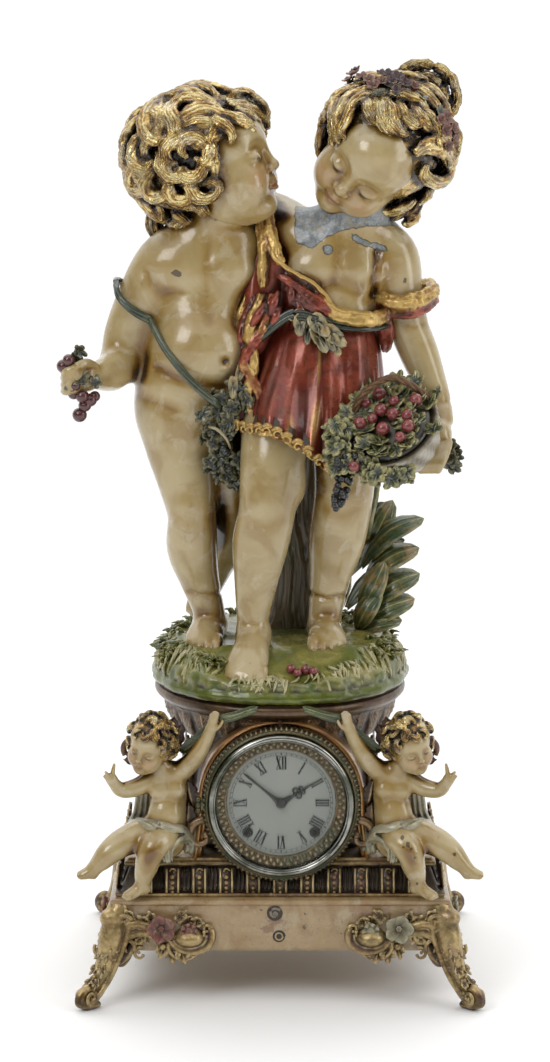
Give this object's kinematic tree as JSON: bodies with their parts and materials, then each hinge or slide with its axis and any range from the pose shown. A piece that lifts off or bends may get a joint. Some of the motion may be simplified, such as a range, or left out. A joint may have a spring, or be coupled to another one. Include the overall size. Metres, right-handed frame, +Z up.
{
  "type": "figural mantel clock",
  "caption": "Figural mantel clock with two standing children on a round mound, a drum case with glazed dial door, seated cherubs and a stepped plinth on scroll feet.",
  "frame": {"origin": "on the ground, at the centre of the footprint, under the middle of the plinth", "axes": "+Z up, the dial and the figures face -Y, +X is to the right for someone who looks at the dial"},
  "size_m": [0.3856, 0.2984, 0.8529],
  "materials": {
    "figure_paint": "old glossy cream flesh paint over cast metal, ochre in the hollows",
    "gilt_bronze": "bronze and gold paint over cast metal, dark brown in the hollows",
    "plinth_paint": "cream and tan paint over cast metal, with dark and gilt relief",
    "old_brass": "aged, dull",
    "dark_steel": "blackened",
    "dial_enamel": "pale grey-green enamel",
    "silvered_metal": "polished but tarnished, with gilding left on the toothed edge",
    "clear_glass": "clear, slightly domed"
  },
  "bodies": {
    "clock": {"children_group": "figure_paint", "clock_case": "gilt_bronze", "plinth": "plinth_paint", "plinth_screw": "old_brass", "cherub_left": "figure_paint", "cherub_right": "figure_paint", "foot_front_left": "gilt_bronze", "foot_front_right": "gilt_bronze", "foot_back_left": "gilt_bronze", "foot_back_right": "gilt_bronze", "winding_arbor_left": "dark_steel", "winding_arbor_right": "dark_steel", "dial": "dial_enamel", "dial_pan": "old_brass"},
    "bezel_door": {"bezel": "silvered_metal", "bezel_glass": "clear_glass"},
    "hour_hand_body": {"hour_hand": "dark_steel"},
    "minute_hand_body": {"minute_hand": "dark_steel"}
  },
  "joints": [
    {"name": "bezel_hinge", "type": "hinge", "parent": "clock", "child": "bezel_door", "pos_m": [-0.0755, -0.127, 0.1925], "axis": [0, 0, -1], "range_deg": [0, 100]},
    {"name": "hour_hand_arbor", "type": "hinge", "parent": "clock", "child": "hour_hand_body", "pos_m": [0.001, -0.1202, 0.1925], "axis": [0, 1, 0], "continuous": true},
    {"name": "minute_hand_arbor", "type": "hinge", "parent": "clock", "child": "minute_hand_body", "pos_m": [0.001, -0.1222, 0.1925], "axis": [0, 1, 0], "continuous": true}
  ],
  "couplings": [
    {"joint": "hour_hand_arbor", "follows": "minute_hand_arbor", "ratio": 0.083333}
  ]
}
